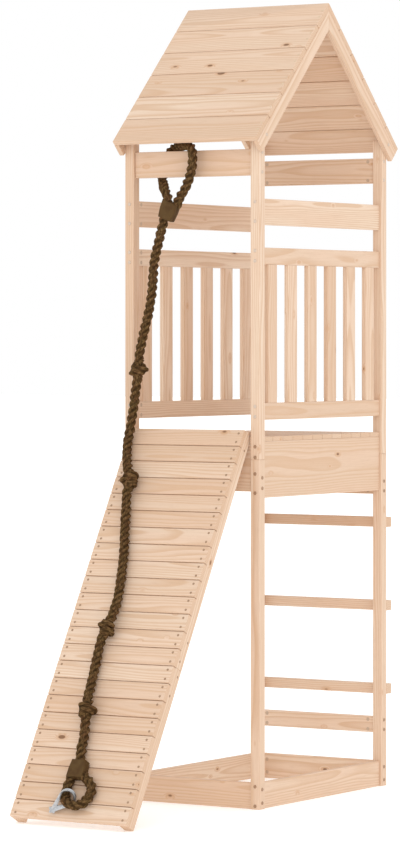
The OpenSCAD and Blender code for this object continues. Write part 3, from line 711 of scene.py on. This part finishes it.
def rope_finish():
    """Dull brown fibre that follows the yarns, along the rope and across it, with painted shade that darkens
    the grooves between the strands.
    """
    rope = Finish("brown_rope")
    yarn = rope.attribute("yarn_place", "Vector")
    yarns = rope.noise(rope.scaled(yarn, YARN_CELLS), 3.0)
    patches, hue, spots = (
        rope.noise(rope.scaled(yarn, cells), 2.0) for cells in (PATCH_CELLS, HUE_CELLS, SPOT_CELLS)
    )
    groove = rope.attribute("groove_shade_share")
    colour = rope.layered(
        rope.blend(rope.eased(yarns, 0.32, 0.68), *YARN_TONES),
        (rope.eased(patches, 0.35, 0.65, 0.0, 0.5), PATCH_BROWN),
        (rope.eased(hue, 0.50, 0.66, 0.0, 0.50), ROPE_RED),
        (rope.eased(hue, 0.46, 0.32, 0.0, 0.45), ROPE_OLIVE),
        (rope.eased(spots, 0.46, 0.62, 0.0, 0.72), DARK_SPOT),
        (rope.eased(spots, 0.44, 0.32, 0.0, 0.62), PALE_SPOT),
        # painted shade: the grooves between the strands are darkened, more in some patches than in others
        (rope.maths("MULTIPLY", groove, rope.eased(patches, 0.36, 0.60, 0.25, 0.85)), GROOVE_PAINTED_SHADE),
    )
    return rope.surfaced({
        "Base Color": colour, "Roughness": 0.86, "Specular IOR Level": 0.06,
        "Normal": rope.bumped(yarns, 0.8, YARN_RELIEF),
    })


rope_fibre = rope_finish()


def smooth_route(points, step):
    """Even points a step apart on the smooth curve through a route, and how far along it each lies."""
    route = np.asarray(points, float)
    padded = np.vstack([route[:1], route, route[-1:]])
    f = np.linspace(0, 1, CURVE_STEPS, endpoint=False)[:, None]
    fine = [
        (2 * b + (c - a) * f + (2 * a - 5 * b + 4 * c - d) * f**2 + (3 * b - a - 3 * c + d) * f**3) / 2
        for a, b, c, d in zip(padded, padded[1:], padded[2:], padded[3:])
    ]
    fine = np.vstack(fine + [route[-1:]])
    walked = np.concatenate([[0], np.cumsum(np.linalg.norm(np.diff(fine, axis=0), axis=1))])
    stops = np.linspace(0, walked[-1], max(2, int(round(walked[-1] / step)) + 1))
    return np.column_stack([np.interp(stops, walked, fine[:, k]) for k in range(3)]), stops


def carried_frames(path):
    """Two directions square to a path at each point, carried along it without twisting."""
    heads = np.gradient(path, axis=0)
    heads /= np.linalg.norm(heads, axis=1)[:, None]
    first = np.cross(heads[0], FIRST_SIDE_HINT)
    sides = [first / np.linalg.norm(first)]
    for head in heads[1:]:
        side = sides[-1] - head * (sides[-1] @ head)
        sides.append(side / np.linalg.norm(side))
    sides = np.array(sides)
    return sides, np.cross(heads, sides)


def laid_rope(name, path, walked, radius, lead=0.0):
    """A three-strand rope's mesh along a path: round strands that turn round each other once in a lay."""
    sides, ups = carried_frames(path)
    angles = np.linspace(0, 2 * math.pi, ROPE_SIDES, endpoint=False)
    strand_turn = 2 * math.pi / STRANDS
    chance = np.random.default_rng(len(path))
    stops = np.arange(0, walked[-1] + UNEVEN_OVERRUN, UNEVEN_STEP)
    uneven = STRAND_UNEVENNESS * np.array([
        np.interp(walked, stops, chance.uniform(-1, 1, len(stops))) for _ in range(STRANDS)
    ])
    s = walked[:, None]
    turned = np.mod(angles - 2 * math.pi * (s + lead) / ROPE_LAY + strand_turn / 2, 2 * math.pi)
    lobe = np.mod(turned, strand_turn) - strand_turn / 2
    strand = np.minimum((turned // strand_turn).astype(int), STRANDS - 1)
    middle = 1 - STRAND_SHARE
    outline = middle * np.cos(lobe) + np.sqrt(np.maximum(STRAND_SHARE**2 - (middle * np.sin(lobe)) ** 2, 0))
    outline = np.maximum(outline, GROOVE_FLOOR)
    yarns = YARN_RIDGE * np.cos(STRANDS * YARNS_IN_STRAND * lobe - 2 * math.pi * s / YARN_LAY)
    bulge = (outline - GROOVE_FLOOR) / (1 - GROOVE_FLOOR)
    ring = radius * outline * (1 + bulge * (uneven[strand, np.arange(len(path))[:, None]] + yarns))
    aside, up = ring * np.cos(angles), ring * np.sin(angles)
    points = path[:, None] + aside[..., None] * sides[:, None] + up[..., None] * ups[:, None]
    yarn_places = np.stack([np.broadcast_to(s, ring.shape), aside, up], axis=-1)
    # how far each point lies down in a groove, as the share of the painted groove shade
    depths = np.clip((GROOVE_SHADE_FROM - outline) / GROOVE_SHADE_DEPTH, 0, 1)
    n, last = ROPE_SIDES, (len(path) - 1) * ROPE_SIDES
    faces = [
        (row + k, row + (k + 1) % n, row + n + (k + 1) % n, row + n + k)
        for row in range(0, last, n) for k in range(n)
    ]
    faces += [tuple(reversed(range(n))), tuple(range(last, last + n))]
    mesh = bpy.data.meshes.new(name)
    mesh.from_pydata(points.reshape(-1, 3).tolist(), [], faces)
    mesh.attributes.new("yarn_place", "FLOAT_VECTOR", "POINT").data.foreach_set("vector", yarn_places.ravel())
    mesh.attributes.new("groove_shade_share", "FLOAT", "POINT").data.foreach_set("value", depths.ravel())
    mesh.shade_smooth()
    return mesh


def lay_cord(name, route, node):
    """A length of the rope on its route, with the points that it follows and its length."""
    path, walked = smooth_route(route, ROPE_STEP)
    piece = finish_piece(laid_rope(name, path, walked, ROPE_RADIUS), name, rope_fibre, "rope", node)
    return piece, path, float(walked[-1])


rope_line, line_path, line_length = lay_cord("climbing_rope", LINE_ROUTE, "rope_line")

# Eyes: the same rope turned back on itself and held by a clamp.
# The upper one hangs round the front top beam, and the lower one lies on the ramp.
EYE_TOP_ROUTE = [
    (-0.040, -0.078, 1.601), (-0.031, -0.079, 1.621), (-0.012, -0.081, 1.648), (0.003, -0.084, 1.674),
    (0.013, -0.087, 1.701), (0.018, -0.088, 1.727), (0.015, -0.085, 1.747), (0.004, -0.077, 1.760),
    (-0.013, -0.066, 1.765), (-0.038, -0.051, 1.765), (-0.068, -0.034, 1.764), (-0.095, -0.021, 1.753),
    (-0.119, -0.015, 1.731), (-0.130, -0.013, 1.705), (-0.124, -0.018, 1.681), (-0.104, -0.043, 1.660),
    (-0.084, -0.065, 1.645), (-0.071, -0.076, 1.630), (-0.066, -0.078, 1.615),
]
EYE_LOW_ROUTE = [
    (-0.015, -0.609, 0.132), (-0.018, -0.618, 0.114), (-0.020, -0.629, 0.095), (-0.018, -0.637, 0.082),
    (-0.012, -0.648, 0.071), (0.000, -0.657, 0.065), (0.020, -0.659, 0.061), (0.040, -0.653, 0.064),
    (0.053, -0.641, 0.078), (0.055, -0.629, 0.095), (0.047, -0.620, 0.112), (0.030, -0.613, 0.124),
    (0.012, -0.609, 0.132),
]
eye_top, eye_top_path, eye_top_length = lay_cord("rope_eye_at_beam", EYE_TOP_ROUTE, "rope_eye_top")
eye_low, eye_low_path, eye_low_length = lay_cord("rope_eye_at_foot", EYE_LOW_ROUTE, "rope_eye_low")

# Knots: overhand knots pulled tight in the rope, four of them, as grips for hands and feet.
# Each is the rope wrapped round itself, with its wraps spread to both sides as the camera sees it.
KNOTTED_POINTS = (8, 15, 23, 29)
KNOT_STARTS = (0.6, 2.4, 4.2, 5.6)
KNOT_STRAND = 0.0128
KNOT_REACH = (0.0142, 0.0106)
KNOT_WRAPS = 1.4
KNOT_PITCH = 0.0195
KNOT_TAIL = 0.027
KNOT_SHOULDER_SHARE = 0.14
KNOT_STEPS = 61
KNOT_LEAD = 0.01

knot_work = bmesh.new()
knot_work.verts.layers.float_vector.new("yarn_place")
knot_work.verts.layers.float.new("groove_shade_share")
share = np.linspace(-0.5, 0.5, KNOT_STEPS)
swell = np.clip((0.5 - np.abs(share)) / KNOT_SHOULDER_SHARE, 0, 1)
swell = swell**2 * (3 - 2 * swell)
knot_side = (math.cos(CAMERA_TURN / 2), math.sin(CAMERA_TURN / 2), 0.0)
for place, start in zip(KNOTTED_POINTS, KNOT_STARTS):
    before, here, after = np.array(LINE_ROUTE[place - 1:place + 2])
    head = (after - before) / np.linalg.norm(after - before)
    up = np.cross(head, knot_side)
    up /= np.linalg.norm(up)
    angle = start + 2 * math.pi * KNOT_WRAPS * share
    wrap = np.column_stack([
        KNOT_REACH[0] * swell * np.cos(angle), KNOT_REACH[1] * swell * np.sin(angle),
        KNOT_WRAPS * KNOT_PITCH * share,
    ])
    wrap = np.vstack([(0, 0, -KNOT_TAIL), wrap, (0, 0, KNOT_TAIL)])
    path, walked = smooth_route(here + wrap @ np.array([np.cross(up, head), up, head]), ROPE_STEP)
    mesh = laid_rope("knot", path, walked, KNOT_STRAND, KNOT_LEAD * start)
    knot_work.from_mesh(mesh)
    bpy.data.meshes.remove(mesh)
mesh = kept_mesh(knot_work, "rope_overhand_knots")
knots = finish_piece(mesh, "rope_overhand_knots", rope_fibre, "rope", "rope_knots")

# Clamps: two moulded halves pressed together over the rope's end and the rope, matt olive brown plastic, with
# rounded edges and a parting line round them. One holds each eye.
RAMP_ANGLE = math.radians(60)
CLAMP_WIDTH, CLAMP_LENGTH, CLAMP_DEPTH = 0.048, 0.050, 0.029
CLAMP_WAIST = 0.85
CLAMP_EDGE, CLAMP_EDGE_STEPS = 0.0055, 5
CLAMP_RIM_SHARE = 0.4
CLAMP_RIM_ANGLE, CLAMP_CREASE = math.radians(40), math.radians(38)
PARTING_GAP, PARTING_LIP, PARTING_INSET = 0.0003, 0.0012, 0.955
CLAMP_TOP_PLACE = (-0.064, -0.078, 1.591)
CLAMP_TOP_TILT = math.radians(22)
CLAMP_LOW_PLACE = (-0.002, -0.603, 0.144)
CLAMP_TONES = (0.078, 0.039, 0.013, 1), (0.100, 0.056, 0.019, 1)
PEBBLE_CELLS = 900.0
PEBBLE_RELIEF = 0.0004
STAIN_CELLS = 60.0


def clamp_finish():
    """Matt plastic with a fine pebbled skin and a faint change of tone."""
    plastic = Finish("olive_plastic")
    place = plastic.place()
    pebble = plastic.noise(place, 2.0, PEBBLE_CELLS)
    stain = plastic.noise(place, 3.0, STAIN_CELLS)
    return plastic.surfaced({
        "Base Color": plastic.blend(plastic.eased(stain, 0.3, 0.7), *CLAMP_TONES),
        "Roughness": plastic.eased(pebble, 0.2, 0.8, 0.52, 0.70), "Specular IOR Level": 0.12,
        "Normal": plastic.bumped(pebble, 0.4, PEBBLE_RELIEF),
    })


clamp_plastic = clamp_finish()


def joined_rings(work, rings):
    """Faces between rings of points, each ring closed on itself."""
    for low, high in zip(rings, rings[1:]):
        for k in range(len(low)):
            j = (k + 1) % len(low)
            work.faces.new((low[k], low[j], high[j], high[k]))


def creased_mesh(work, turn, place, name, crease):
    """A worked mesh turned and set in its place, smooth but for edges sharper than a crease."""
    work.transform(Matrix.Translation(place) @ turn)
    bmesh.ops.recalc_face_normals(work, faces=work.faces)
    mesh = kept_mesh(work, name)
    mesh.shade_smooth()
    mesh.set_sharp_from_angle(angle=crease)
    return mesh


def mould_clamp(name, node, turn, place):
    """A clamp's two halves from its outline, met at a fine groove."""
    right = [(0.5 * CLAMP_WAIST, -0.5), (0.5, 0.0), (0.5, 0.5)]
    outline = [(-x, z) for x, z in reversed(right)] + right
    steps = [(PARTING_GAP, PARTING_INSET), (PARTING_LIP, 1.0), (CLAMP_DEPTH / 2, 1.0)]
    clamp = bmesh.new()
    for face_side in (-1, 1):
        rings = [
            [clamp.verts.new((x * CLAMP_WIDTH * s, face_side * y, z * CLAMP_LENGTH * s)) for x, z in outline]
            for y, s in steps
        ]
        joined_rings(clamp, rings)
        clamp.faces.new(rings[0])
        clamp.faces.new(rings[-1])
    bmesh.ops.recalc_face_normals(clamp, faces=clamp.faces)
    rims = [
        edge for edge in clamp.edges
        if edge.calc_face_angle(0.0) > CLAMP_RIM_ANGLE
        and all(abs(vertex.co.y) > CLAMP_DEPTH * CLAMP_RIM_SHARE for vertex in edge.verts)
    ]
    bmesh.ops.bevel(
        clamp, geom=rims, offset=CLAMP_EDGE, segments=CLAMP_EDGE_STEPS, profile=0.5, affect="EDGES",
        clamp_overlap=True,
    )
    mesh = creased_mesh(clamp, turn, place, name, CLAMP_CREASE)
    return finish_piece(mesh, name, clamp_plastic, "rope", node)


hanging = Matrix.Rotation(CLAMP_TOP_TILT, 4, "Y")
lying = Matrix.Rotation(RAMP_ANGLE - math.pi / 2, 4, "X") @ Matrix.Rotation(math.pi, 4, "Y")
clamp_top = mould_clamp("clamp_at_eye", "rope_clamp_top", hanging, CLAMP_TOP_PLACE)
clamp_low = mould_clamp("clamp_at_foot", "rope_clamp_low", lying, CLAMP_LOW_PLACE)

# Thimble: a galvanised steel channel bent to a pointed loop and linked in the lower eye.
# Its groove runs round the outside, and its sides draw together at the point.
THIMBLE_LENGTH, THIMBLE_WIDTH, THIMBLE_BAND, THIMBLE_DEPTH = 0.062, 0.044, 0.006, 0.014
THIMBLE_PLACE = (-0.005, -0.648, 0.078)
THIMBLE_TURNS = [(219, "Z"), (10, "Y"), (-45, "X")]
CHANNEL_OUTSIDE = [(0.0, 1.0), (0.0, 0.8), (0.0030, 0.35)]
CHANNEL_INSIDE = [(0.0055, 0.45), (0.0016, 1.0)]
ROUND_POINTS, TIP_POINTS = 40, 8
TIP_GROWTH, TIP_GROWTH_FROM = 2.0, 0.25
THIMBLE_CREASE = math.radians(35)
SPANGLE_CELLS = 260.0
ZINC_TONES = (0.400, 0.415, 0.435, 1), (0.560, 0.570, 0.585, 1)


def zinc_finish():
    """Galvanised steel with the pale and dark spangles of its zinc."""
    zinc = Finish("zinc_plate")
    _, spangle = zinc.cells(zinc.place(), SPANGLE_CELLS)
    return zinc.surfaced({
        "Base Color": zinc.blend(spangle, *ZINC_TONES),
        "Roughness": zinc.eased(spangle, 0.0, 1.0, 0.30, 0.46), "Metallic": 0.85,
    })


def arc(middle, radius, start, end, count):
    """Points on a round stretch of the thimble's outline."""
    angles = np.linspace(start, end, count)
    return np.column_stack([middle + radius * np.cos(angles), radius * np.sin(angles)])


round_radius, tip_radius = THIMBLE_WIDTH / 2, THIMBLE_BAND / 2
tip_x = THIMBLE_LENGTH - tip_radius
square = math.pi / 2 - math.asin((round_radius - tip_radius) / tip_x)
bend = np.vstack([
    arc(0.0, round_radius, square, 2 * math.pi - square, ROUND_POINTS),
    arc(tip_x, tip_radius, -square, square, TIP_POINTS),
])
inwards = np.roll(bend, -1, axis=0) - np.roll(bend, 1, axis=0)
inwards = np.column_stack([-inwards[:, 1], inwards[:, 0]]) / np.linalg.norm(inwards, axis=1)[:, None]
channel = CHANNEL_OUTSIDE + [(depth, -rise) for depth, rise in reversed(CHANNEL_OUTSIDE)]
channel += [(depth, -rise) for depth, rise in reversed(CHANNEL_INSIDE)] + CHANNEL_INSIDE
thimble_work = bmesh.new()
rings = []
for point, inward in zip(bend, inwards):
    growth = 1 + TIP_GROWTH * max(0.0, point[0] / tip_x - TIP_GROWTH_FROM)
    rings.append([
        thimble_work.verts.new((*(point + depth * growth * inward), rise * THIMBLE_DEPTH / 2))
        for depth, rise in channel
    ])
joined_rings(thimble_work, rings + rings[:1])
thimble_turn = Matrix.Rotation(RAMP_ANGLE, 4, "X")
for angle, axis in THIMBLE_TURNS:
    thimble_turn = thimble_turn @ Matrix.Rotation(math.radians(angle), 4, axis)
mesh = creased_mesh(thimble_work, thimble_turn, THIMBLE_PLACE, "galvanised_thimble", THIMBLE_CREASE)
thimble = finish_piece(mesh, "galvanised_thimble", zinc_finish(), "rope", "rope_thimble")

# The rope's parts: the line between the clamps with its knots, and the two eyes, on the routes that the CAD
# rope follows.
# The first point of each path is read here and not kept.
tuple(line_path[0])
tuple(eye_top_path[0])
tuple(eye_low_path[0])
